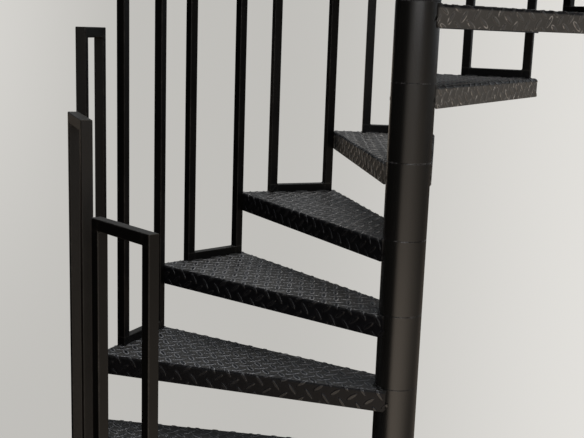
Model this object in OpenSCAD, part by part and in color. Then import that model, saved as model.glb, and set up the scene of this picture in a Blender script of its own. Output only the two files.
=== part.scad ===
// Spiral staircase: a steel column carries folded wedge treads, and each
// tread carries a closed hoop of square tube at its outer end.
// The origin is on the column's axis at floor level, and +Z is up.
// Seen from above the stair climbs clockwise.

/* [Stair] */
// Rise from one tread to the next
riser_h = 190; // [150:5:230]
// Angle from one tread to the next, seen from above
step_angle = 22; // [18:1:30]
// Direction of the first tread, counter-clockwise from +X
first_angle = 225; // [0:5:360]

/* [Column] */
// Outer diameter of the sleeves that make the column
sleeve_d = 108; // [80:1:150]
// Wall of a sleeve
sleeve_wall = 5; // [3:0.5:8]
// Wall of the pole inside the sleeves
pole_wall = 4; // [2:0.5:8]
// Clearance all round between the pole and the sleeves
pole_clearance = 0.5; // [0.2:0.1:1.5]
// Height of a sleeve's top edge above the tread welded to it
seam_rise = 6; // [2:1:20]
// Chamfer on the outer edge at both ends of a sleeve
sleeve_chamfer = 1; // [0.4:0.2:2]

/* [Treads] */
// Distance from the column's axis to the outer end of a tread
tread_reach = 800; // [500:10:1200]
// Width of a tread at its outer end
tread_end_w = 324; // [240:2:400]
// Depth of the folded front and back flanges
flange_h = 54; // [35:1:80]
// Thickness of the tread plate
plate_t = 4; // [3:0.5:6]
// Inner radius of the folds
fold_r = 3; // [1:0.5:6]
// How far each flange stands outside the sleeve's side
flange_margin = 1.5; // [1:0.5:6]
// Gap between a tread and the sleeve it is welded to
weld_gap = 0.3; // [0.1:0.1:1]
// Distance from a flange's tangent point on the sleeve to its inner end
flange_start = 8; // [4:1:20]
// Size of the cut at a flange's lower inner corner
corner_cut = 12; // [4:1:20]

/* [Hoops] */
// Side of the square tube
tube_w = 25; // [16:1:40]
// Radius of the tube's long edges
tube_edge_r = 2.5; // [1:0.5:4]
// Height of a hoop
hoop_h = 1060; // [600:10:1300]
// Width of a hoop over its two posts
hoop_w = 212; // [120:2:230]
// Distance from the back of a tread to the back post
hoop_inset = 20; // [0:1:25]
// Radius of the weld fillets in a hoop's inner corners
corner_fillet = 5; // [3:0.5:10]

/* [Base and top] */
// Diameter of the base plate
base_d = 380; // [320:5:500]
// Thickness of the base plate
base_t = 12; // [8:1:20]
// Diameter of the circle on which the anchor holes lie
anchor_pcd = 310; // [270:5:310]
// Diameter of an anchor hole
anchor_hole_d = 14; // [10:1:18]
// Thickness of a gusset on the base plate
gusset_t = 8; // [5:1:12]
// Height of a gusset
gusset_h = 90; // [50:5:120]
// Distance from a gusset's outer end to the edge of the base plate
gusset_inset = 15; // [5:1:30]
// Size of the clipped corners of a gusset
gusset_clip = 12; // [5:1:20]
// Height of the rim of the top cap
cap_h = 8; // [5:1:15]
// How far the cap's plug reaches down into the pole
cap_plug_h = 25; // [15:1:50]
// Clearance all round between the cap's plug and the pole
plug_clearance = 0.3; // [0.2:0.1:1]

/* [Hidden] */
$fn = 96;
// Treads in the stair, each with its sleeve and its hoop
tread_count = 13;
// Anchor holes in the base plate, with a gusset between each pair
anchor_count = 6;
// Overlap of the cutting shapes past what they cut
over = 1;

sleeve_r = sleeve_d / 2;
bore_r = sleeve_r - sleeve_wall;
pole_r = bore_r - pole_clearance;
pole_bore_r = pole_r - pole_wall;

// Distance of a flange's outer face from the column's axis, and the angle
// that it makes with the tread's centre line to reach half the end width
face_off = sleeve_r + flange_margin;
half_w = tread_end_w / 2;
taper = acos(face_off / norm([half_w, tread_reach])) - atan2(tread_reach, half_w);
// Outer radius of the folds
fold_in = plate_t + fold_r;
// A length that runs past the outer end of a tread
long_side = norm([half_w, tread_reach]) + over;

hoop_back = -half_w + hoop_inset;
hoop_front = hoop_back + hoop_w;
hoop_x = tread_reach - tube_w;

last_level = riser_h * tread_count;
last_seam = last_level + seam_rise;
column_top = last_level + hoop_h;

function two_digits(n) = n < 10 ? str("0", n) : str(n);
function level(n) = riser_h * n;
function bearing(n) = first_angle - step_angle * (n - 1);

// Moves a shape made for a tread that points along +X to the place of tread n
module at_step(n) {
    translate([0, 0, level(n)]) rotate([0, 0, bearing(n)]) children();
}

// A tube along Z with chamfered outer edges at both ends
module sleeve(z_low, z_high) {
    c = sleeve_chamfer;
    color("#2b2a28") rotate_extrude() polygon([
        [bore_r, z_low], [sleeve_r - c, z_low], [sleeve_r, z_low + c],
        [sleeve_r, z_high - c], [sleeve_r - c, z_high], [bore_r, z_high]]);
}

module tread_sleeve(n) {
    sleeve(max(base_t, level(n - 1) + seam_rise), level(n) + seam_rise);
}

module newel_sleeve() {
    sleeve(last_seam, column_top);
}

module pole() {
    color("#2b2a28") translate([0, 0, base_t]) difference() {
        cylinder(r = pole_r, h = column_top - base_t);
        translate([0, 0, -over]) cylinder(r = pole_bore_r, h = column_top + over);
    }
}

// Domed cap on the column, with a plug that centres it in the pole
module top_cap() {
    plug_r = pole_bore_r - plug_clearance;
    color("#2b2a28") translate([0, 0, column_top]) {
        rotate_extrude() {
            square([sleeve_r - cap_h / 2, cap_h]);
            square([sleeve_r, cap_h / 2]);
            translate([sleeve_r - cap_h / 2, cap_h / 2]) intersection() {
                circle(r = cap_h / 2);
                square(cap_h / 2);
            }
        }
        translate([0, 0, -cap_plug_h]) cylinder(r = plug_r, h = cap_plug_h + over);
    }
}

// Upright triangular rib between the base plate and the first sleeve
module gusset() {
    near = sleeve_r + weld_gap;
    far = base_d / 2 - gusset_inset;
    translate([0, gusset_t / 2, base_t]) rotate([90, 0, 0]) linear_extrude(gusset_t) polygon([
        [near, 0], [far, 0], [far, gusset_clip], [near + gusset_clip, gusset_h], [near, gusset_h]]);
}

module base_plate() {
    color("#2b2a28") union() {
        difference() {
            cylinder(d = base_d, h = base_t);
            for (i = [0 : anchor_count - 1])
                rotate([0, 0, 360 * i / anchor_count])
                    translate([anchor_pcd / 2, 0, -over])
                        cylinder(d = anchor_hole_d, h = base_t + 2 * over);
        }
        for (i = [0 : anchor_count - 1])
            rotate([0, 0, 360 * (i + 0.5) / anchor_count]) gusset();
    }
}

// Everything inside one tapered side of the tread: the region stops at inset
// under the tread's faces and has a rounded upper edge of radius r
module tapered_side(inset, r, low) {
    y_side = face_off - inset;
    rotate([0, 0, taper]) rotate([90, 0, 90]) linear_extrude(long_side) union() {
        translate([-tread_end_w, low]) square([tread_end_w + y_side - r, -low - inset]);
        translate([-tread_end_w, low]) square([tread_end_w + y_side, -low - inset - r]);
        translate([y_side - r, -inset - r]) circle(r = r);
    }
}

// Wedge between the two tapered sides
module wedge(inset, r, low) {
    intersection() {
        tapered_side(inset, r, low);
        mirror([0, 1, 0]) tapered_side(inset, r, low);
    }
}

// What is trimmed from one flange at its inner end, with the lower corner
module flange_trim() {
    deep = fold_in + plate_t;
    rotate([0, 0, taper]) translate([0, face_off + over, 0]) rotate([90, 0, 0])
        linear_extrude(deep) polygon([
            [-over, over], [flange_start, over], [flange_start, corner_cut - flange_h],
            [flange_start + corner_cut, -flange_h], [flange_start + corner_cut, -flange_h - over],
            [-over, -flange_h - over]]);
}

// Wedge tread folded from one plate, open below and at its outer end
module tread(n) {
    color("#34343a") at_step(n) difference() {
        wedge(0, fold_in, -flange_h);
        wedge(plate_t, fold_r, -flange_h - over);
        translate([0, 0, -flange_h - over])
            cylinder(r = sleeve_r + weld_gap, h = flange_h + 2 * over);
        translate([tread_reach, -tread_end_w, -flange_h - over])
            cube([long_side, 2 * tread_end_w, flange_h + 2 * over]);
        flange_trim();
        mirror([0, 1, 0]) flange_trim();
    }
}

// Square with rounded corners, standing on the origin corner
module tube_section() {
    r = tube_edge_r;
    translate([r, 0]) square([tube_w - 2 * r, tube_w]);
    translate([0, r]) square([tube_w, tube_w - 2 * r]);
    for (x = [r, tube_w - r], y = [r, tube_w - r])
        translate([x, y]) circle(r = r);
}

// Length of tube along +Y, with both ends mitred towards the +Z side
module mitred_tube(length) {
    intersection() {
        translate([0, length, 0]) rotate([90, 0, 0]) linear_extrude(length) tube_section();
        rotate([90, 0, 90]) linear_extrude(tube_w) polygon([
            [0, 0], [length, 0], [length - tube_w, tube_w], [tube_w, tube_w]]);
    }
}

// Weld fillet that fills a hoop's inner corner
module hoop_fillet() {
    f = corner_fillet;
    translate([tube_edge_r, 0, 0]) rotate([90, 0, 90]) linear_extrude(tube_w - 2 * tube_edge_r)
        difference() {
            translate([-over, -over]) square(f + over);
            translate([f, f]) circle(r = f);
        }
}

// Closed upright hoop that stands on the outer end of a tread
module hoop(n) {
    inner_w = hoop_w - 2 * tube_w;
    inner_h = hoop_h - 2 * tube_w;
    color("#1c1b1a") at_step(n) translate([hoop_x, hoop_back, 0]) {
        mitred_tube(hoop_w);
        translate([0, hoop_w, hoop_h]) rotate([180, 0, 0]) mitred_tube(hoop_w);
        translate([0, 0, hoop_h]) rotate([-90, 0, 0]) mitred_tube(hoop_h);
        translate([0, hoop_w, 0]) rotate([90, 0, 0]) mitred_tube(hoop_h);
        translate([0, tube_w, tube_w]) hoop_fillet();
        translate([0, tube_w + inner_w, tube_w]) rotate([90, 0, 0]) hoop_fillet();
        translate([0, tube_w + inner_w, tube_w + inner_h]) rotate([180, 0, 0]) hoop_fillet();
        translate([0, tube_w, tube_w + inner_h]) rotate([-90, 0, 0]) hoop_fillet();
    }
}

base_plate();
pole();
newel_sleeve();
top_cap();
for (n = [1 : tread_count]) {
    tread_sleeve(n);
    tread(n);
    hoop(n);
}
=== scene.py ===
import math

import bmesh
import bpy
from mathutils import Matrix, Vector


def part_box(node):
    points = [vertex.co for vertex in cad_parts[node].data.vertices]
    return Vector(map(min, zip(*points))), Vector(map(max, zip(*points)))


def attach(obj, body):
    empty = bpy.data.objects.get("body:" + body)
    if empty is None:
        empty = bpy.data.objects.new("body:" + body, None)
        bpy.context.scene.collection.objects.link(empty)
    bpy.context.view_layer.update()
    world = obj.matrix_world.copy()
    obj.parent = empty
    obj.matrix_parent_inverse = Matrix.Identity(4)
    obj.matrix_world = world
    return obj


bl_info = {
    "name": "Spiral stair finish",
    "version": (1, 0, 0),
    "blender": (4, 5, 0),
    "location": "View3D > Sidebar > Stair",
    "description": "Paints a spiral stair and adds its tread pattern, welds, anchor bolts and a studio",
    "category": "Object",
}

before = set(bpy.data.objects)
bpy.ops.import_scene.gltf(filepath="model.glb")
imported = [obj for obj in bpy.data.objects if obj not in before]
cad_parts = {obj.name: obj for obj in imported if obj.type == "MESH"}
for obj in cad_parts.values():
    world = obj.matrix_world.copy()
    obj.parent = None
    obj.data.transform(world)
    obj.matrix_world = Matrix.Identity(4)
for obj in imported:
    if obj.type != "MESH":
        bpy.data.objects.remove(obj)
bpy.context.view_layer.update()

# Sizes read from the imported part
STEPS = sum(1 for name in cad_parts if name.startswith("tread_"))
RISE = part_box("tread_02")[1].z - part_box("tread_01")[1].z
SLEEVE_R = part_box("newel_sleeve")[1].x
SEAM_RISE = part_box("sleeve_01")[1].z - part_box("tread_01")[1].z
FLANGE_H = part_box("tread_01")[1].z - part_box("tread_01")[0].z
BASE_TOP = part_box("pole")[0].z
BASE_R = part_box("base_plate")[1].x

# Sizes of the part that its boxes don't show: turn from tread to tread and direction of the first,
# a flange's distance from its tangent point on the sleeve, the cut at its lower inner corner,
# a gusset's inset and height, and the number of anchors, with a gusset between each pair
TURN = math.radians(22.0)
FIRST = math.radians(225.0)
FLANGE_START = 0.008
CORNER_CUT = 0.012
GUSSET_INSET = 0.015
GUSSET_H = 0.090
ANCHORS = 6

# Raised bars: how deep their feet reach into the plate, how far from a flange's lower edge they end,
# and how far they keep clear of the sleeve
BAR_FOOT = 0.00015
BAR_END = 0.0006
BAR_CLEAR = 0.0035

# Weld beads: distance between rings, swell of every other ring, what is left of the rings at the ends,
# how high a bead's middle lies over its plate, and how far a ring's points may lie from its plane
# and from its middle
RING_GAP = 0.0036
SWELL = 1.16
END_SHARE = 0.45
BEAD_LIFT = 0.0006
RING_SLACK = 0.00002
RING_REACH = 0.02

# Anchors: washer thickness, width of the nut over its flats, and pitch, depth and turns of the thread
WASHER = 0.0025
NUT_FLATS = 0.019
THREAD_PITCH = 0.00175
THREAD_DEPTH = 0.0007
THREAD_TURNS = 7

# The photograph: width, focal length, lens axis and middle row in pixels, then eye point, turn, tilt
# and roll of its view in degrees, and the width of the camera's sensor in millimetres
PHOTO_WIDE = 584
FOCAL = 1025.627
AXIS_ROW = 255
MIDDLE_ROW = 219
EYE = (-0.13855, -2.50342, 1.63605)
VIEW_TURNS = (-3.1727, -12.2933, 1.9881)
SENSOR = 36.0

# Tint that cools the sky's light, and the lamps: name, place, aim, size, power, tint, and whether the
# gloss shows them
SKY_TINT = (0.92, 1.0, 1.10)
LAMPS = (
    ("window", (0.3, -3.5, 2.75), (0, 0, 1.2), (2.8, 1.3), 50.0, (0.98, 0.98, 1.0), True),
    ("overhead", (0.3, 0.2, 5.6), (0, 0, 0), (2.6, 2.6), 165.0, (0.96, 0.98, 1.0), True),
    ("rear", (0.3, 3.0, 4.0), (0, 0, 1.0), (1.8, 1.2), 120.0, (0.94, 0.97, 1.0), False),
    ("side", (3.4, -0.2, 2.4), (0.2, 0.3, 1.4), (1.6, 1.6), 70.0, (1.0, 0.94, 0.87), False),
)


# Shader maths

class Value:
    """A shader socket in a Python expression: each operator adds its Math node."""

    def __init__(self, shader, socket):
        self.shader = shader
        self.socket = socket

    def maths(self, operation, *values):
        return self.shader.add("ShaderNodeMath", {"operation": operation}, dict(enumerate(values)))

    def __add__(self, other):
        return self.maths("ADD", self, other)

    __radd__ = __add__

    def __sub__(self, other):
        return self.maths("SUBTRACT", self, other)

    def __rsub__(self, other):
        return self.maths("SUBTRACT", other, self)

    def __mul__(self, other):
        return self.maths("MULTIPLY", self, other)

    __rmul__ = __mul__

    def __truediv__(self, other):
        return self.maths("DIVIDE", self, other)

    def __abs__(self):
        return self.maths("ABSOLUTE", self)

    def least(self, other):
        return self.maths("MINIMUM", self, other)

    def most(self, other):
        return self.maths("MAXIMUM", self, other)

    def root(self):
        return self.maths("SQRT", self)

    def part(self):
        return self.maths("FRACT", self)

    def rise(self, low, high):
        """0 below low and 1 above high, with a soft step between."""
        return self.shader.add("ShaderNodeMapRange", {"interpolation_type": "SMOOTHSTEP"},
                               {"Value": self, "From Min": low, "From Max": high})

    def fall(self, low, high):
        """1 below low and 0 above high."""
        return 1 - self.rise(low, high)


class Shader:
    """A node tree that is written as expressions."""

    def __init__(self, owner):
        owner.use_nodes = True
        self.tree = owner.node_tree
        self.tree.nodes.clear()

    def add(self, kind, settings=None, inputs=None, output=0):
        """Adds a node, makes its settings first, then fills its sockets with values or links."""
        node = self.tree.nodes.new(kind)
        for name, value in (settings or {}).items():
            setattr(node, name, value)
        for name, value in (inputs or {}).items():
            if isinstance(value, Value):
                self.tree.links.new(value.socket, node.inputs[name])
            elif hasattr(value, "__len__") and node.inputs[name].type == "RGBA" and len(value) == 3:
                node.inputs[name].default_value = (*value, 1.0)
            else:
                node.inputs[name].default_value = value
        return Value(self, node.outputs[output]) if node.outputs else None

    def place(self, centre=(0.0, 0.0, 0.0), turn=0.0):
        """Object coordinates, seen from a centre and turned back about the vertical."""
        here = self.add("ShaderNodeTexCoord", output="Object")
        moved = self.add("ShaderNodeVectorMath", {"operation": "SUBTRACT"}, {0: here, 1: centre})
        return self.add("ShaderNodeMapping", None, {"Vector": moved, "Rotation": (0.0, 0.0, -turn)})

    def split(self, vector):
        x = self.add("ShaderNodeSeparateXYZ", None, {0: vector}, "X")
        node = x.socket.node
        return x, Value(self, node.outputs["Y"]), Value(self, node.outputs["Z"])

    def noise(self, vector, scale, detail, roughness):
        return self.add("ShaderNodeTexNoise", None,
                        {"Vector": vector, "Scale": scale, "Detail": detail, "Roughness": roughness})

    def stretch(self, vector, scale):
        return self.add("ShaderNodeVectorMath", {"operation": "MULTIPLY"}, {0: vector, 1: scale})

    def blend(self, share, first, second):
        """A colour between two others."""
        return self.add("ShaderNodeMix", {"data_type": "RGBA"}, {0: share, 6: first, 7: second}, 2)

    def tinted(self, share, tone, tint):
        """A colour that is multiplied by a tint as far as the share says."""
        return self.add("ShaderNodeMix", {"data_type": "RGBA", "blend_type": "MULTIPLY"},
                        {0: share, 6: tone, 7: tint}, 2)

    def bump(self, height, distance, strength):
        return self.add("ShaderNodeBump", None,
                        {"Height": height, "Distance": distance, "Strength": strength})

    def surface(self, colour, roughness, normal, **others):
        """Principled surface to the output, with any other sockets named with underscores."""
        sockets = {"Base Color": colour, "Roughness": roughness, "Normal": normal}
        sockets.update({name.replace("_", " "): value for name, value in others.items()})
        shine = self.add("ShaderNodeBsdfPrincipled", None, sockets)
        self.add("ShaderNodeOutputMaterial", None, {"Surface": shine})


# Sizes and colours

def length(name, default, description):
    return bpy.props.FloatProperty(name=name, description=description, default=default,
                                   unit="LENGTH", precision=4)


def colour(name, default, description):
    return bpy.props.FloatVectorProperty(name=name, description=description, default=default,
                                         subtype="COLOR", size=3, min=0.0, max=1.0)


class StairSizes(bpy.types.PropertyGroup):
    bar_long: length("Bar length", 0.035, "Length of a raised bar on the tread plate")
    bar_wide: length("Bar width", 0.0105, "Width of a raised bar at its middle")
    bar_high: length("Bar height", 0.0016, "Height of a raised bar over the plate")
    bar_pitch: length("Bar pitch", 0.045, "Distance between like bars along and across the tread")
    tread_reach: length("Tread reach", 0.800, "Distance from the column's axis to a tread's outer end")
    tread_end: length("Tread end width", 0.324, "Width of a tread at its outer end")
    fold_radius: length("Fold radius", 0.007, "Outer radius of the folds between top and flanges")
    flange_out: length("Flange offset", 0.0555, "Distance of a flange's outer face from the column's axis")
    plate: length("Plate", 0.004, "Thickness of the tread plate")
    tube: length("Tube", 0.025, "Side of the hoops' square tube")
    hoop_high: length("Hoop height", 1.060, "Height of a hoop over its tread")
    hoop_wide: length("Hoop width", 0.212, "Width of a hoop over its two posts")
    hoop_inset: length("Hoop inset", 0.020, "Distance from a tread's back edge to the back post")
    bead: length("Weld bead", 0.0024, "Radius of the weld beads")
    anchor_ring: length("Anchor circle", 0.155, "Radius of the circle of anchor bolts")
    stud: length("Stud", 0.012, "Diameter of the anchor studs")
    gusset: length("Gusset", 0.008, "Thickness of the gussets on the base plate")


class StairColours(bpy.types.PropertyGroup):
    tube_black: colour("Hoop paint", (0.0017, 0.0016, 0.0015), "Satin black paint on the hoops")
    column_black: colour("Column paint", (0.0046, 0.0046, 0.0045), "Satin black paint on the column")
    tread_black: colour("Tread paint", (0.0032, 0.0033, 0.0042), "Black paint on the treads, a little blue")
    # Light grey of worn paint; round the tread bars it also paints their highlight.
    bar_wear_and_highlight: colour("Worn bars", (0.175, 0.175, 0.182), "Paint rubbed thin on the raised bars")
    edge_worn: colour("Worn edges", (0.055, 0.050, 0.044), "Paint rubbed thin along edges and seams")
    dust: colour("Dust", (0.075, 0.071, 0.065), "Fine dust that settles on level faces")
    zinc: colour("Zinc", (0.42, 0.43, 0.44), "Zinc plating on the anchor bolts")
    bloom: colour("Zinc bloom", (0.24, 0.235, 0.225), "Dull bloom on the zinc plating")
    backdrop_shaded: colour("Backdrop, shaded side", (0.53, 0.52, 0.495), "Pale backdrop towards -X")
    backdrop_lit: colour("Backdrop, lit side", (0.782, 0.766, 0.733), "Pale backdrop towards +X")
    floor: colour("Floor", (0.62, 0.61, 0.59), "Pale floor close to the stair")
    mirrored: colour("Mirrored floor", (0.72, 0.61, 0.50), "Floor as the paint's gloss mirrors it")


# Modelling helpers

def select_only(piece):
    bpy.ops.object.select_all(action="DESELECT")
    bpy.context.view_layer.objects.active = piece
    piece.select_set(True)


def start_edit(piece, mode="VERT"):
    select_only(piece)
    bpy.ops.object.mode_set(mode="EDIT")
    bpy.ops.mesh.select_mode(type=mode)


def end_edit():
    bpy.ops.object.mode_set(mode="OBJECT")


def pick(piece, test):
    """Selects in edit mode the vertices whose place passes the test."""
    bpy.ops.mesh.select_all(action="DESELECT")
    mesh = bmesh.from_edit_mesh(piece.data)
    found = 0
    for vertex in mesh.verts:
        if test(vertex.co):
            vertex.select = True
            found += 1
    mesh.select_flush(True)
    bmesh.update_edit_mesh(piece.data)
    return found


def turn_picked(angle, axis, centre):
    """Turns what is picked about a main axis by the right-hand rule.

    With no window the tool's own sense is the opposite.
    """
    bpy.ops.transform.rotate(value=-angle, orient_axis=axis, orient_type="GLOBAL", center_override=centre)


def settle(piece):
    """Puts the object's place into its mesh."""
    select_only(piece)
    bpy.ops.object.transform_apply(location=True, rotation=True, scale=True)


def named(name):
    """Names the object that was just made."""
    piece = bpy.context.active_object
    piece.name = name
    piece.data.name = name
    return piece


def disc(name, corners, radius, spot, turns=(0, 0, 0), mode="FACE"):
    """A flat disc, picked in edit mode and ready to be drawn out."""
    bpy.ops.object.select_all(action="DESELECT")
    bpy.ops.mesh.primitive_circle_add(vertices=corners, radius=radius, fill_type="NGON",
                                      location=spot, rotation=turns)
    piece = named(name)
    settle(piece)
    start_edit(piece, mode)
    bpy.ops.mesh.select_all(action="SELECT")
    return piece


def modify(piece, kind, **settings):
    """Gives a piece a modifier with its settings and applies it."""
    bpy.context.view_layer.objects.active = piece
    change = piece.modifiers.new(kind.title(), kind)
    for name, value in settings.items():
        setattr(change, name, value)
    bpy.ops.object.modifier_apply(modifier=change.name)


def join(pieces, name):
    bpy.ops.object.select_all(action="DESELECT")
    for piece in pieces:
        piece.select_set(True)
    bpy.context.view_layer.objects.active = pieces[0]
    bpy.ops.object.join()
    return named(name)


def copy_of(piece, name, place):
    """A copy with its own mesh, moved by a matrix that goes into the mesh."""
    twin = piece.copy()
    twin.data = piece.data.copy()
    twin.name = name
    twin.data.name = name
    bpy.context.scene.collection.objects.link(twin)
    twin.matrix_world = place @ piece.matrix_world
    settle(twin)
    return twin


def bearing(n):
    """Direction of step n, seen from above."""
    return FIRST - TURN * (n - 1)


def step_place(n):
    """Where step n stands: its tread points along +X before."""
    return Matrix.Translation((0, 0, RISE * n)) @ Matrix.Rotation(bearing(n), 4, "Z")


def base_turn(k, first=0):
    """Turn from +X to piece k of those that stand round the base plate, the first at an angle in degrees."""
    return Matrix.Rotation(math.radians(first + 360 / ANCHORS * k), 4, "Z")


def outward(piece):
    """Turns every face of a closed piece outward."""
    start_edit(piece)
    bpy.ops.mesh.select_all(action="SELECT")
    bpy.ops.mesh.normals_make_consistent(inside=False)
    end_edit()


def finish_piece(piece, material):
    """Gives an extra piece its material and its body."""
    piece.data.materials.clear()
    piece.data.materials.append(material)
    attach(piece, "root")


def repaint(node, material):
    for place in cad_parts[node].material_slots:
        place.material = material


def remove(*pieces):
    for piece in pieces:
        bpy.data.objects.remove(piece)


def taper_of(sizes):
    """Angle between a tread's flanges and its centre line."""
    half = sizes.tread_end / 2
    corner = math.hypot(half, sizes.tread_reach)
    return math.acos(sizes.flange_out / corner) - math.atan2(sizes.tread_reach, half)


# Paints

def new_paint(name):
    """A material, and the shader that writes its nodes."""
    finish = bpy.data.materials.new(name)
    return finish, Shader(finish)


def mottled(shader, share, tone, times):
    """A paint's tone, up to so many times lighter where the share is high."""
    return shader.blend(share, tone, [c * times for c in tone])


def paint_grain(shader, place, fine=1400.0):
    """Height of sprayed paint: fine orange peel with broader waves under it."""
    peel = shader.noise(place, fine, 2.0, 0.5)
    waves = shader.noise(place, 130.0, 2.0, 0.5)
    return peel * 0.35 + waves * 0.65


def column_paint(tints):
    """Paint of the column, with streaks down it and the seams between its sleeves rubbed in places."""
    finish, shader = new_paint("column_paint")
    place = shader.place()
    z = shader.split(place)[2]
    streaks = shader.noise(shader.stretch(place, (1.0, 1.0, 0.08)), 30.0, 4.0, 0.6)
    clouds = shader.noise(place, 7.0, 3.0, 0.5)
    scuffs = shader.noise(place, 190.0, 4.0, 0.7)
    patches = shader.noise(shader.stretch(place, (1.0, 1.0, 0.15)), 34.0, 3.0, 0.6)
    from_seam = abs(((z - SEAM_RISE) / RISE + 0.5).part() - 0.5) * RISE
    newel_foot = RISE * STEPS + 0.02
    below_newel = z.fall(newel_foot, newel_foot + 0.01)
    seam = from_seam.fall(0.0005, 0.0026) * scuffs.rise(0.30, 0.62) * patches.rise(0.44, 0.66) * below_newel
    chips = scuffs.rise(0.70, 0.76) * clouds.rise(0.45, 0.7) * 0.5
    worn = seam.most(chips)
    body = mottled(shader, streaks.rise(0.3, 0.75) * 0.5, tints.column_black, 1.7)
    shade = shader.blend(worn * 0.36, body, tints.bar_wear_and_highlight)
    gloss = 0.19 + clouds * 0.07 + streaks * 0.05
    normal = shader.bump(paint_grain(shader, place) + chips * -1.5, 0.00025, 0.55)
    shader.surface(shade, gloss, normal, Metallic=0.0)
    return finish


def hoop_paint(tints, sizes, n):
    """Paint of hoop n, rubbed along the tube's edges, with the mitres' ground welds.

    As in the photograph, the two lowest hoops are a little lighter than the others.
    """
    finish, shader = new_paint(f"hoop_paint_{n:02d}")
    place = shader.place((0.0, 0.0, RISE * n), bearing(n))
    x, y, z = shader.split(place)
    half_w = sizes.hoop_wide / 2
    half_h = sizes.hoop_high / 2
    middle = sizes.hoop_inset - sizes.tread_end / 2 + half_w
    across = abs(y - middle)
    up = abs(z - half_h)
    side = abs(abs(x - (sizes.tread_reach - sizes.tube / 2)) - sizes.tube / 2)
    post = abs(across - half_w).least(abs(across - (half_w - sizes.tube)))
    rail = abs(up - half_h).least(abs(up - (half_h - sizes.tube)))
    from_edge = side + post.least(rail)
    scuffs = shader.noise(place, 240.0, 4.0, 0.7)
    clouds = shader.noise(place, 9.0, 3.0, 0.5)
    edge = from_edge.fall(0.0012, 0.0042) * scuffs.rise(0.38, 0.66) * (0.25 + clouds.rise(0.4, 0.65) * 0.75)
    over_top = z - sizes.hoop_high
    over_foot = z - sizes.tube
    hand = over_top.rise(-0.16, -0.02)
    top_face = over_top.rise(-0.0009, -0.0003)
    foot_face = over_foot.rise(-0.0009, -0.0003) * over_foot.fall(0.0003, 0.0009)
    dusty = top_face.most(foot_face) * (0.25 + clouds * 0.9)
    mitre = abs((half_w - across) - (half_h - up))
    weld = mitre.fall(0.0003, 0.0016) * (half_h - up).fall(sizes.tube * 0.98, sizes.tube)
    body = mottled(shader, clouds.rise(0.3, 0.7) * 0.6, tints.tube_black, 1.8)
    dusted = shader.blend(dusty * 0.55, body, tints.dust)
    shade = shader.blend(edge * 0.4, dusted, tints.edge_worn)
    gloss = 0.33 + clouds * 0.10 - hand * 0.04 + dusty * 0.14
    normal = shader.bump(paint_grain(shader, place) + weld * 2.2 * (0.6 + scuffs), 0.00022, 0.6)
    shader.surface(shade, gloss, normal, Specular_IOR_Level=0.27 if n < 3 else 0.16)
    return finish


def bar_edge(sizes, x, y):
    """Distance from the outline of the nearest raised bar, below 0 inside it."""
    pitch = sizes.bar_pitch
    diagonal = pitch * math.sqrt(0.5)
    half_long = sizes.bar_long / 2
    half_wide = sizes.bar_wide / 2
    nearest = None
    for turn, shift in ((1.0, 0.5), (-1.0, 0.0)):
        u = (x / pitch + shift).part() - 0.5
        v = (y / pitch + shift).part() - 0.5
        along = (u + v * turn) * (diagonal / half_long)
        across = (v - u * turn) * (diagonal / half_wide)
        size = (along * along + across * across).root()
        steep_x = along / half_long
        steep_y = across / half_wide
        here = (size - 1) * size / (steep_x * steep_x + steep_y * steep_y).root().most(0.001)
        nearest = here if nearest is None else nearest.least(here)
    return nearest


def on_plate(sizes, x, y, z):
    """Where a point lies on a tread's folded plate.

    Gives its distance out past the fold's axis, its height over that axis, how far it stands proud of the
    plate, and its distance from the nearest bar's outline as measured on the plate laid flat.
    """
    taper = taper_of(sizes)
    radius = sizes.fold_radius
    line = sizes.flange_out - radius
    out = abs(y) * math.cos(taper) - x * math.sin(taper) - line
    high = z + radius
    round_part = (out.most(0.0) * out.most(0.0) + high.most(0.0) * high.most(0.0)).root()
    proud = round_part + out.most(high).least(0.0) - radius
    round_fold = out.most(0.0).maths("ARCTAN2", out.most(0.0), high.most(0.00001)) * radius
    flat_out = out.least(0.0) + round_fold - high.least(0.0) + line
    flat_on = x * math.cos(taper) + abs(y) * math.sin(taper)
    flat_x = flat_on * math.cos(taper) - flat_out * math.sin(taper)
    flat_y = (flat_on * math.sin(taper) + flat_out * math.cos(taper)) * y.maths("SIGN", y)
    return out, high, proud, bar_edge(sizes, flat_x, flat_y)


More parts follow.
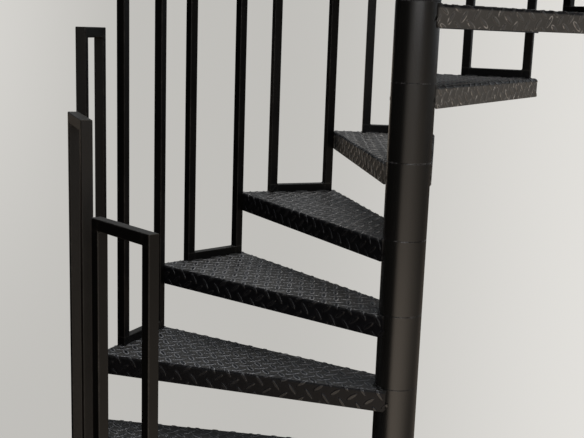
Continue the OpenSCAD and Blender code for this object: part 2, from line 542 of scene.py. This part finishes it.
def tread_paint(tints, sizes, n):
    """Paint of tread n and its raised bars: dust round the bars, light rims at their feet that are partly
    worn paint and partly painted highlight, wear on their crests and along the fold.

    As in the photograph, the wear is a little warmer on the upper treads, every third tread is dustier,
    the tops from the eighth up are darker with painted shade, and both flanges of the seventh are dusty.
    """
    # Painted shade: from the eighth tread up the tops keep less dust and fainter light rims, so they read
    # darker.
    unshaded_top_share = 1.0 if n < 8 else 0.4
    settled = 1.0 + 0.16 * math.sin(math.tau / 3 * (n - 4))
    warm = min(1.0, max(0.0, (n - 4) / 3))
    # Worn grey, warmer on the upper treads; in the light rims it also stands in for highlight.
    worn = [c * (1 - warm * less) for c, less in zip(tints.bar_wear_and_highlight, (0.04, 0.09, 0.18))]
    finish, shader = new_paint(f"tread_paint_{n:02d}")
    place = shader.place((0.0, 0.0, RISE * n), bearing(n))
    x, y, z = shader.split(place)
    out, high, proud, from_bar = on_plate(sizes, x, y, z)
    scuffs = shader.noise(place, 210.0, 5.0, 0.7)
    clouds = shader.noise(place, 8.0, 4.0, 0.6)
    drift = shader.noise(place, 46.0, 3.0, 0.6)
    patches = shader.noise(place, 34.0, 2.0, 0.5)
    cloudy = 0.45 + clouds * 0.8
    # Parts of the tread
    top = z.rise(-0.0012, -0.0002)
    flank = high.fall(-0.003, 0.002)
    back = flank * (y.fall(-0.02, 0.0) if n != 7 else 1.0)
    nosing = out.rise(-0.004, 0.003) * high.rise(-0.002, 0.004)
    crest = proud.rise(0.0008, 0.0013)
    outside = from_bar.rise(-0.0018, -0.0004)
    skin = proud.rise(-0.0020, -0.0010) * settled
    # Wear and dust on them, with painted highlight in the light rims and painted shade on the upper tops
    off = x / sizes.tread_reach - 0.55
    walked = 1 - off * off * 5.0
    use = (walked.most(0.25) * cloudy).least(1.0)
    rubbed = crest * scuffs.rise(0.30, 0.60) * (use * (0.12 + top * 0.28) + nosing * 0.45)
    edge = nosing * (1 - crest) * scuffs.rise(0.42, 0.66) * (0.15 + clouds * 0.3)
    # Dust on the tops, cut back from the eighth tread up as painted shade.
    dusty = top * unshaded_top_share * outside * (0.45 + drift.rise(0.35, 0.7) * 0.55) * cloudy
    settling = (dusty * 0.98 + back * (0.45 + clouds * 0.5)).least(1.0) * 0.75 * settled
    # Light rims round the feet of the bars: partly worn paint, partly painted highlight for the bars' lit
    # sides.
    rim = outside * from_bar.fall(0.0007, 0.0026) * (0.3 + scuffs.rise(0.34, 0.62) * 0.7) * skin
    faint = (settled - 0.7) * 0.5
    # On the back flanges the rims are lighter still: partly bared paint, partly painted highlight.
    bare_and_highlight = rim * (faint + patches.rise(0.50, 0.64) * (1.0 - faint)) * back
    uneven = 0.40 + drift.rise(0.34, 0.62) * 0.60
    # The rims on the tops: partly worn paint, partly painted highlight.
    marked_and_lit = rim * uneven * (top * 1.9 * unshaded_top_share + flank * 0.05) * (0.4 + clouds * 0.8)
    body = mottled(shader, drift.rise(0.3, 0.7) * 0.5, tints.tread_black, 1.6)
    dusted = shader.blend(settling, body, tints.dust)
    edged = shader.blend(edge * 0.6, dusted, tints.edge_worn)
    # Painted highlight and wear in the light rims round the bars.
    rimmed = shader.blend(marked_and_lit.least(1.0), edged, worn)
    bared_and_lit = shader.blend(bare_and_highlight, rimmed, [c * 1.5 for c in worn])
    shade = shader.blend(rubbed * 0.28, bared_and_lit, worn)
    gloss = 0.32 + drift * 0.10 + (dusty + back) * 0.14
    normal = shader.bump(paint_grain(shader, place, 1100.0), 0.0003, 0.6)
    shader.surface(shade, gloss, normal, Specular_IOR_Level=0.2,
                   Coat_Weight=crest * (0.35 + scuffs * 0.5) * (1 - top * 0.7), Coat_Roughness=0.2)
    return finish


def base_paint(tints):
    """Paint of the base plate, worn at its rim and dusty on its upper face."""
    finish, shader = new_paint("base_paint")
    place = shader.place()
    x, y, z = shader.split(place)
    clouds = shader.noise(place, 12.0, 4.0, 0.6)
    scuffs = shader.noise(place, 170.0, 5.0, 0.7)
    radius = (x * x + y * y).root()
    rim = abs(radius - BASE_R).fall(0.0008, 0.0040) * scuffs.rise(0.36, 0.62)
    level = z.rise(BASE_TOP - 0.001, BASE_TOP - 0.0003) * z.fall(BASE_TOP + 0.0005, BASE_TOP + 0.02)
    dusty = level * (0.35 + clouds * 0.75)
    body = mottled(shader, clouds.rise(0.3, 0.7) * 0.5, tints.column_black, 1.7)
    dusted = shader.blend(dusty * 0.6, body, tints.dust)
    shade = shader.blend(rim * 0.7, dusted, tints.edge_worn)
    gloss = 0.44 + clouds * 0.10 + dusty * 0.18
    normal = shader.bump(paint_grain(shader, place), 0.0003, 0.6)
    shader.surface(shade, gloss, normal, Metallic=0.0)
    return finish


def weld_paint(tints):
    """Paint over weld beads, with spatter under it."""
    finish, shader = new_paint("weld_paint")
    place = shader.place()
    spatter = shader.noise(place, 420.0, 3.0, 0.6)
    clouds = shader.noise(place, 20.0, 3.0, 0.5)
    body = mottled(shader, clouds.rise(0.3, 0.7), tints.column_black, 1.9)
    shade = shader.blend(spatter.rise(0.55, 0.75) * 0.4, body, tints.edge_worn)
    normal = shader.bump(spatter, 0.0004, 0.8)
    shader.surface(shade, 0.38 + spatter * 0.2, normal, Metallic=0.0)
    return finish


def zinc_plate(tints):
    """Zinc plating with a dull bloom on it."""
    finish, shader = new_paint("anchor_zinc")
    place = shader.place()
    grain = shader.noise(place, 900.0, 3.0, 0.6)
    bloom = shader.noise(place, 160.0, 4.0, 0.65)
    shade = shader.blend(bloom.rise(0.45, 0.7) * 0.6, tints.zinc, tints.bloom)
    normal = shader.bump(grain, 0.0001, 0.5)
    shader.surface(shade, 0.34 + bloom * 0.25, normal, Metallic=1.0)
    return finish


# Operators

class STAIR_OT_paint_column(bpy.types.Operator):
    """Paints the sleeves, the newel sleeve, the pole, the cap and the base plate"""
    bl_idname = "stair.paint_column"
    bl_label = "Paint column"

    def execute(self, context):
        tints = context.scene.stair_colours
        finish = column_paint(tints)
        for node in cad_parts:
            if node.startswith("sleeve_") or node in ("newel_sleeve", "pole", "top_cap"):
                repaint(node, finish)
        repaint("base_plate", base_paint(tints))
        return {"FINISHED"}


class STAIR_OT_paint_hoops(bpy.types.Operator):
    """Paints each hoop, with its wear along the tube's edges"""
    bl_idname = "stair.paint_hoops"
    bl_label = "Paint hoops"

    def execute(self, context):
        tints, sizes = context.scene.stair_colours, context.scene.stair_sizes
        for n in range(1, STEPS + 1):
            repaint(f"hoop_{n:02d}", hoop_paint(tints, sizes, n))
        return {"FINISHED"}


class STAIR_OT_tread_pattern(bpy.types.Operator):
    """Raises the bars on every tread's top and round its folds, and paints plate and bars"""
    bl_idname = "stair.tread_pattern"
    bl_label = "Raised pattern"

    def bar(self, sizes, turn, spot):
        """One lens-shaped bar with steep sides and a flat crest, turned and moved to its spot."""
        bar = disc("bar", 12, 1.0, (0, 0, -BAR_FOOT))
        long, wide = sizes.bar_long / 2, sizes.bar_wide / 2
        bpy.ops.transform.resize(value=(long, wide, 1), center_override=(0, 0, 0))
        for up, inset in ((sizes.bar_high * 0.7 + BAR_FOOT, 0.0010), (sizes.bar_high * 0.3, 0.0013)):
            shorter, narrower = long - inset * 1.8, wide - inset
            bpy.ops.mesh.extrude_region_move(TRANSFORM_OT_translate={"value": (0, 0, up)})
            bpy.ops.transform.resize(value=(shorter / long, narrower / wide, 1), center_override=(0, 0, 0))
            long, wide = shorter, narrower
        bpy.ops.mesh.select_all(action="SELECT")
        turn_picked(turn, "Z", (0, 0, 0))
        bpy.ops.transform.translate(value=spot)
        end_edit()
        return bar

    def field(self, sizes):
        """Flat field of bars, each set at right angles to its neighbours."""
        pitch = sizes.bar_pitch
        columns = math.ceil(sizes.tread_reach / pitch) + 1
        rows = 2 * math.ceil((sizes.tread_end / 2 + FLANGE_H) / pitch) + 1
        low = -(rows - 1) / 2 * pitch
        sets = []
        for turn, shift in ((math.pi / 4, 0.0), (-math.pi / 4, pitch / 2)):
            bar = self.bar(sizes, turn, (shift, low + shift, 0))
            for count, step in ((columns, (pitch, 0, 0)), (rows, (0, pitch, 0))):
                modify(bar, "ARRAY", count=count, use_relative_offset=False, use_constant_offset=True,
                       constant_offset_displace=step)
            sets.append(bar)
        return join(sets, "bars")

    def cut(self, spot, out):
        """Cuts off in edit mode what lies beyond a plane, and closes the bars that it crosses."""
        bpy.ops.mesh.select_all(action="SELECT")
        bpy.ops.mesh.bisect(plane_co=spot, plane_no=out, use_fill=True, clear_outer=True)

    def fold(self, bars, sizes, side):
        """Cuts one flange to its depth and bends it down over the fold, in small steps as a press does."""
        taper = taper_of(sizes)
        radius = sizes.fold_radius
        line = sizes.flange_out - radius
        depth = line + radius * math.pi / 2 + FLANGE_H - radius - BAR_END
        # Number of bends, width of the strip before the fold that they may cut, and slack of a pick
        count, strip, slack = 6, 0.02, 1e-6
        turn = math.pi / 2 / count
        reach = radius / (0.5 + sum(math.cos(k * turn) for k in range(1, count)))
        start_edit(bars)
        bpy.ops.mesh.select_all(action="SELECT")
        turn_picked(-side * taper, "Z", (0, 0, 0))
        self.cut((0, side * depth, 0), (0, side, 0))
        hinge = Vector((0, side * (line + reach / 2), 0))
        heading = Vector((0, side, 0))
        for k in range(count):
            pick(bars, lambda v: side * v.y > line - strip)
            bpy.ops.mesh.bisect(plane_co=hinge, plane_no=heading)
            pick(bars, lambda v: side * v.y > 0 and (v - hinge).dot(heading) > slack)
            turn_picked(-side * turn, "X", hinge)
            angle = (k + 1) * turn
            heading = Vector((0, side * math.cos(angle), -math.sin(angle)))
            hinge = hinge + heading * reach
        bpy.ops.mesh.select_all(action="SELECT")
        turn_picked(side * taper, "Z", (0, 0, 0))
        end_edit()

    def clear_inner_end(self, bars, sizes):
        """Cuts the bars clear of the sleeve's weld and of the flanges' clipped inner ends."""
        taper = taper_of(sizes)
        # Sides of the two kinds of cutting block, their thickness, and how far outside the flange they stand
        end_block, corner_block, thick, beyond = 0.100, 0.0175, 0.03, 0.004
        bpy.ops.object.select_all(action="DESELECT")
        bpy.ops.mesh.primitive_cylinder_add(vertices=64, radius=SLEEVE_R + BAR_CLEAR, depth=0.2)
        cutters = [named("round_cutter")]
        for side in (1, -1):
            up = Vector((0, 0, 1))
            along = Vector((math.cos(taper), side * math.sin(taper), 0))
            out = Vector((-math.sin(taper), side * math.cos(taper), 0))
            flange = Matrix((along, up.cross(along), up)).transposed().to_quaternion()
            inner_end = along * (FLANGE_START - end_block / 2)
            corner = along * (FLANGE_START + CORNER_CUT / 2) + up * (CORNER_CUT / 2 - FLANGE_H)
            for spot, turn, wide in ((inner_end, 0.0, end_block), (corner, math.pi / 4, corner_block)):
                middle = spot + out * (sizes.flange_out + beyond)
                bpy.ops.mesh.primitive_cube_add(size=1.0, location=middle)
                cutter = named("end_cutter")
                cutter.scale = (wide, thick, wide)
                cutter.rotation_mode = "QUATERNION"
                cutter.rotation_quaternion = flange @ Matrix.Rotation(turn, 3, "Y").to_quaternion()
                settle(cutter)
                cutters.append(cutter)
        for cutter in cutters:
            modify(bars, "BOOLEAN", operation="DIFFERENCE", solver="EXACT", object=cutter)
        remove(*cutters)

    def execute(self, context):
        tints, sizes = context.scene.stair_colours, context.scene.stair_sizes
        bars = self.field(sizes)
        for side in (1, -1):
            self.fold(bars, sizes, side)
        start_edit(bars)
        self.cut((sizes.tread_reach, 0, 0), (1, 0, 0))
        self.cut((0, 0, 0), (-1, 0, 0))
        end_edit()
        self.clear_inner_end(bars, sizes)
        outward(bars)
        for n in range(1, STEPS + 1):
            finish = tread_paint(tints, sizes, n)
            repaint(f"tread_{n:02d}", finish)
            finish_piece(copy_of(bars, f"tread_pattern_{n:02d}", step_place(n)), finish)
        remove(bars)
        return {"FINISHED"}


def ripple(piece, rings, swell):
    """Scales rings of a bead about their middles, which leaves the ripples of the weld."""
    start_edit(piece)
    for centre, normal in rings:
        if pick(piece, lambda v: (abs((v - centre).dot(normal)) < RING_SLACK
                                  and (v - centre).length < RING_REACH)):
            bpy.ops.transform.resize(value=(swell, swell, swell), center_override=centre)
    end_edit()


def straight_bead(name, radius, start, end):
    """A straight weld bead with closed, rounded ends."""
    run = end - start
    count = max(6, 2 * round(run.length / RING_GAP))
    bead = disc(name, 8, radius, start, run.to_track_quat("Z", "Y").to_euler(), "VERT")
    step = run / count
    for k in range(count):
        bpy.ops.mesh.extrude_region_move(TRANSFORM_OT_translate={"value": step})
    end_edit()
    along = run.normalized()
    rings = [(start + step * k, along) for k in range(1, count, 2)]
    ripple(bead, rings, SWELL)
    ripple(bead, [(start, along), (end, along)], END_SHARE)
    outward(bead)
    return bead


class STAIR_OT_step_welds(bpy.types.Operator):
    """Lays the weld beads between treads and sleeves, and at the feet of the hoops"""
    bl_idname = "stair.step_welds"
    bl_label = "Step welds"

    def ring_bead(self, sizes, level):
        """Bead round the side of the sleeve that the tread's top or underside meets."""
        radius = SLEEVE_R + sizes.bead * 0.45
        sweep = math.radians(164)
        steps = 2 * round(radius * sweep / RING_GAP)

        def ring(k):
            angle = -sweep / 2 + sweep * k / steps
            return (Vector((radius * math.cos(angle), radius * math.sin(angle), level)),
                    Vector((-math.sin(angle), math.cos(angle), 0)))

        bead = disc("ring_bead", 8, sizes.bead, ring(0)[0], (math.pi / 2, 0, -sweep / 2), "VERT")
        bpy.ops.mesh.spin(steps=steps, angle=-sweep, center=(0, 0, level), axis=(0, 0, 1))
        end_edit()
        ripple(bead, [ring(k) for k in range(1, steps, 2)], SWELL)
        outward(bead)
        return bead

    def execute(self, context):
        sizes = context.scene.stair_sizes
        back = sizes.hoop_inset - sizes.tread_end / 2
        front = back + sizes.hoop_wide
        beads = [self.ring_bead(sizes, level) for level in (0.0002, -sizes.plate)]
        inside = sizes.tread_reach - sizes.tube - sizes.bead * 0.3
        half_run = 0.02
        for share in (0.16, 0.5, 0.84):
            middle = back + sizes.hoop_wide * share
            start, end = (Vector((inside, y, BEAD_LIFT)) for y in (middle - half_run, middle + half_run))
            beads.append(straight_bead("foot_bead", sizes.bead, start, end))
        clear = 0.006
        for y in (back - sizes.bead * 0.2, front + sizes.bead * 0.2):
            start, end = (Vector((x, y, 0.0005)) for x in (inside + clear, sizes.tread_reach - clear))
            beads.append(straight_bead("foot_bead", sizes.bead * 0.85, start, end))
        master = join(beads, "welds")
        finish = weld_paint(context.scene.stair_colours)
        for n in range(1, STEPS + 1):
            finish_piece(copy_of(master, f"step_weld_{n:02d}", step_place(n)), finish)
        remove(master)
        return {"FINISHED"}


class STAIR_OT_base_welds(bpy.types.Operator):
    """Lays the weld beads between the gussets, the base plate and the first sleeve"""
    bl_idname = "stair.base_welds"
    bl_label = "Base welds"

    def execute(self, context):
        sizes = context.scene.stair_sizes
        side = sizes.gusset / 2 + sizes.bead * 0.35
        # The beads stop a few millimetres short of the gusset's corners
        near, far = SLEEVE_R + 0.004, BASE_R - GUSSET_INSET - 0.002
        low, top = BASE_TOP + 0.006, BASE_TOP + GUSSET_H - 0.004
        beads = []
        for y in (side, -side):
            level = (Vector((x, y, BASE_TOP + BEAD_LIFT)) for x in (near, far))
            beads.append(straight_bead("rib_bead", sizes.bead, *level))
            upright = (Vector((SLEEVE_R - 0.0004, y, z)) for z in (low, top))
            beads.append(straight_bead("rib_bead", sizes.bead, *upright))
        rib = join(beads, "rib_welds")
        ribs = [copy_of(rib, f"rib_weld_{k + 1}", base_turn(k, 180 / ANCHORS)) for k in range(ANCHORS)]
        remove(rib)
        finish_piece(join(ribs, "base_weld"), weld_paint(context.scene.stair_colours))
        return {"FINISHED"}


class STAIR_OT_anchor_bolts(bpy.types.Operator):
    """Sets a stud, nut and washer in each hole of the base plate"""
    bl_idname = "stair.anchor_bolts"
    bl_label = "Anchor bolts"

    def washer(self, sizes):
        """Round washer with softened edges."""
        bpy.ops.object.select_all(action="DESELECT")
        bpy.ops.mesh.primitive_cylinder_add(vertices=32, radius=sizes.stud, depth=WASHER,
                                            location=(0, 0, BASE_TOP + WASHER / 2))
        washer = named("washer")
        settle(washer)
        modify(washer, "BEVEL", width=0.0004, segments=2, limit_method="ANGLE")
        return washer

    def nut(self, high):
        """Hexagon nut with its upper corners turned off."""
        low = BASE_TOP + WASHER
        corner = NUT_FLATS / 2 / math.cos(math.pi / 6)
        bpy.ops.object.select_all(action="DESELECT")
        bpy.ops.mesh.primitive_cylinder_add(vertices=6, radius=corner, depth=high,
                                            location=(0, 0, low + high / 2), rotation=(0, 0, 0.2))
        nut = named("nut")
        settle(nut)
        # The cone to which the corners are turned
        foot, tip = 0.0150, 0.0088
        bpy.ops.mesh.primitive_cone_add(vertices=48, radius1=foot, radius2=tip, depth=high * 1.10,
                                        location=(0, 0, low + high * 0.47))
        turned = named("turned")
        settle(turned)
        modify(nut, "BOOLEAN", operation="INTERSECT", solver="EXACT", object=turned)
        remove(turned)
        modify(nut, "BEVEL", width=0.0003, segments=2, limit_method="ANGLE")
        return nut

    def stud(self, sizes, nut_high):
        """Stud end from just inside the nut, with its thread's grooves and a chamfered tip."""
        nut_top = BASE_TOP + WASHER + nut_high
        radius = sizes.stud / 2
        core = radius - THREAD_DEPTH
        grow = radius / core
        stud = disc("stud", 24, core, (0, 0, nut_top - 0.002))
        rings = [(THREAD_PITCH / 2, grow), (THREAD_PITCH / 2, 1 / grow)] * THREAD_TURNS + [(0.001, 0.8)]
        for up, scale in rings:
            bpy.ops.mesh.extrude_region_move(TRANSFORM_OT_translate={"value": (0, 0, up)})
            bpy.ops.transform.resize(value=(scale, scale, 1))
        end_edit()
        outward(stud)
        return stud

    def execute(self, context):
        sizes = context.scene.stair_sizes
        nut_high = sizes.stud * 0.85
        master = join([self.washer(sizes), self.nut(nut_high), self.stud(sizes, nut_high)], "anchor")
        outward(master)
        bpy.ops.object.shade_smooth_by_angle(angle=math.radians(35))
        finish = zinc_plate(context.scene.stair_colours)
        for k in range(ANCHORS):
            place = base_turn(k) @ Matrix.Translation((sizes.anchor_ring, 0, 0))
            finish_piece(copy_of(master, f"anchor_bolt_{k + 1}", place), finish)
        remove(master)
        return {"FINISHED"}


class STAIR_OT_studio(bpy.types.Operator):
    """Sets the pale floor and backdrop, the soft lamps and the camera"""
    bl_idname = "stair.studio"
    bl_label = "Studio"

    def backdrop_tone(self, shader, tints, toward, level):
        """Pale backdrop colour, a little lighter towards +X and in the upper corner towards -X."""
        corner = (0.0 - toward).rise(0.20, 0.36) * level.rise(-0.40, 0.05) * 0.58
        return shader.blend(toward.rise(-0.09, 0.30).most(corner), tints.backdrop_shaded, tints.backdrop_lit)

    def mirrored_light(self, x, y, wide):
        """What the gloss of the paint mirrors: bright in front to the right, dark to the left."""
        turn = x.maths("ARCTAN2", x, 0.0 - y)
        bright = turn.rise(-0.86, -0.36) * (1 - turn.rise(-0.1, wide) * 0.86) * turn.fall(2.5, 2.9)
        return bright + 0.006

    def floor(self, tints):
        """Pale floor that runs on as backdrop, and is darker where the paint's gloss mirrors it."""
        bpy.ops.object.select_all(action="DESELECT")
        bpy.ops.mesh.primitive_plane_add(size=400.0, location=(0, 0, -0.0005))
        floor = named("floor")
        settle(floor)
        finish, shader = new_paint("floor_pale")
        x, y = shader.split(shader.place())[:2]
        away = (x * x + y * y).root()
        far = away.most(0.01)
        # What the camera sees: chalky floor close to the stair, the backdrop's tone beyond
        side, deep, drop = x - EYE[0], y - EYE[1], EYE[2]
        sight = (side * side + deep * deep + drop * drop).root()
        tone = self.backdrop_tone(shader, tints, side / sight, sight.maths("DIVIDE", -drop, sight))
        chalk = shader.add("ShaderNodeBsdfDiffuse", None, {"Color": tints.floor})
        glow = shader.add("ShaderNodeEmission", None, {"Color": tone, "Strength": 1.0})
        near = shader.add("ShaderNodeMixShader", None, {0: away.rise(0.25, 1.25), 1: chalk, 2: glow})
        # What the gloss mirrors: light from the front, dim close to the column, and a pale strip far behind
        beyond = away.rise(3.0, 8.0) * (y / far).rise(0.76, 0.90) * (x / far).fall(0.0, 0.10) * 0.6
        power = (2.4 - away.rise(1.2, 9.0) * 1.4) * (0.25 + away.rise(0.2, 0.9) * 0.75)
        gleam = self.mirrored_light(x, y, 1.55 + away.rise(1.2, 4.0) * 0.35) * power + beyond
        mirrored = shader.add("ShaderNodeEmission", None, {"Color": tints.mirrored, "Strength": gleam})
        seen = shader.add("ShaderNodeLightPath", output="Is Camera Ray")
        mixed = shader.add("ShaderNodeMixShader", None, {0: seen, 1: mirrored, 2: near})
        shader.add("ShaderNodeOutputMaterial", None, {"Surface": mixed})
        floor.data.materials.append(finish)

    def surroundings(self, tints):
        """Backdrop above the horizon for the camera, and the uneven light that the stair stands in."""
        world = bpy.data.worlds.new("studio")
        bpy.context.scene.world = world
        shader = Shader(world)
        look = shader.add("ShaderNodeTexCoord", output="Generated")
        x, y, z = shader.split(look)
        tone = self.backdrop_tone(shader, tints, x, z.most(-0.008))
        low = x.rise(-0.06, 0.06) * x.fall(0.28, 0.50) * z.fall(0.02, 0.15)
        behind = (x * 0.55 + y * 0.84).rise(0.15, 0.95) * z.fall(0.35, 0.8) * (1 - low * 0.92)
        right = (x * 0.9 + y * 0.45).rise(0.55, 0.98) * z.fall(0.02, 0.16)
        above = z.rise(0.45, 1.0)
        front = self.mirrored_light(x, y, 1.1) * z.fall(0.25, 0.75)
        wash = front * 0.70 + behind * 0.42 + right * 0.25 + above * 0.25
        seen = shader.add("ShaderNodeLightPath", output="Is Camera Ray")
        sky = shader.tinted(1 - seen, tone, SKY_TINT)
        glow = shader.add("ShaderNodeBackground", None, {"Color": sky, "Strength": seen + (1 - seen) * wash})
        shader.add("ShaderNodeOutputWorld", None, {"Surface": glow})

    def lamp(self, name, spot, aim, size, power, tint, mirrored):
        """A soft lamp that the camera doesn't see."""
        light = bpy.data.lights.new(name, "AREA")
        light.shape = "RECTANGLE"
        light.size, light.size_y = size
        light.energy = power
        light.color = tint
        lamp = bpy.data.objects.new(name, light)
        lamp.visible_camera = False
        lamp.visible_glossy = mirrored
        bpy.context.scene.collection.objects.link(lamp)
        lamp.location = spot
        lamp.rotation_euler = (Vector(aim) - Vector(spot)).to_track_quat("-Z", "Y").to_euler()

    def camera(self):
        """The photograph's view: from 1.64 m over the floor, 2.5 m in front of the column."""
        yaw, pitch, roll = (math.radians(angle) for angle in VIEW_TURNS)
        ahead = Vector((math.sin(yaw) * math.cos(pitch), math.cos(yaw) * math.cos(pitch), math.sin(pitch)))
        right = Vector((math.cos(yaw), -math.sin(yaw), 0))
        up = right.cross(ahead)
        across = right * math.cos(roll) + up * math.sin(roll)
        upward = up * math.cos(roll) - right * math.sin(roll)
        lens = bpy.data.cameras.new("camera")
        lens.sensor_fit = "HORIZONTAL"
        lens.sensor_width = SENSOR
        lens.lens = FOCAL / PHOTO_WIDE * SENSOR
        lens.shift_y = (AXIS_ROW - MIDDLE_ROW) / PHOTO_WIDE
        camera = bpy.data.objects.new("camera", lens)
        bpy.context.scene.collection.objects.link(camera)
        turned = Matrix((across, upward, -ahead)).transposed().to_4x4()
        camera.matrix_world = Matrix.Translation(EYE) @ turned
        bpy.context.scene.camera = camera

    def execute(self, context):
        tints = context.scene.stair_colours
        self.floor(tints)
        self.surroundings(tints)
        for lamp in LAMPS:
            self.lamp(*lamp)
        self.camera()
        context.scene.view_settings.view_transform = "Standard"
        return {"FINISHED"}


class STAIR_PT_sidebar(bpy.types.Panel):
    """Steps that finish the stair, with their sizes and colours"""
    bl_idname = "STAIR_PT_sidebar"
    bl_label = "Spiral stair"
    bl_space_type = "VIEW_3D"
    bl_region_type = "UI"
    bl_category = "Stair"

    def draw(self, context):
        for step in STEPS_IN_ORDER:
            self.layout.operator(step.bl_idname)
        for group in (context.scene.stair_sizes, context.scene.stair_colours):
            box = self.layout.box()
            for name in group.__annotations__:
                box.prop(group, name)


STEPS_IN_ORDER = (STAIR_OT_studio, STAIR_OT_paint_column, STAIR_OT_paint_hoops, STAIR_OT_tread_pattern,
                  STAIR_OT_step_welds, STAIR_OT_base_welds, STAIR_OT_anchor_bolts)
CLASSES = (StairSizes, StairColours, *STEPS_IN_ORDER, STAIR_PT_sidebar)


def register():
    for part in CLASSES:
        bpy.utils.register_class(part)
    bpy.types.Scene.stair_sizes = bpy.props.PointerProperty(type=StairSizes)
    bpy.types.Scene.stair_colours = bpy.props.PointerProperty(type=StairColours)


def unregister():
    del bpy.types.Scene.stair_colours
    del bpy.types.Scene.stair_sizes
    for part in reversed(CLASSES):
        bpy.utils.unregister_class(part)


def main():
    register()
    for step in STEPS_IN_ORDER:
        area, name = step.bl_idname.split(".")
        getattr(getattr(bpy.ops, area), name)()


if __name__ == "__main__":
    main()
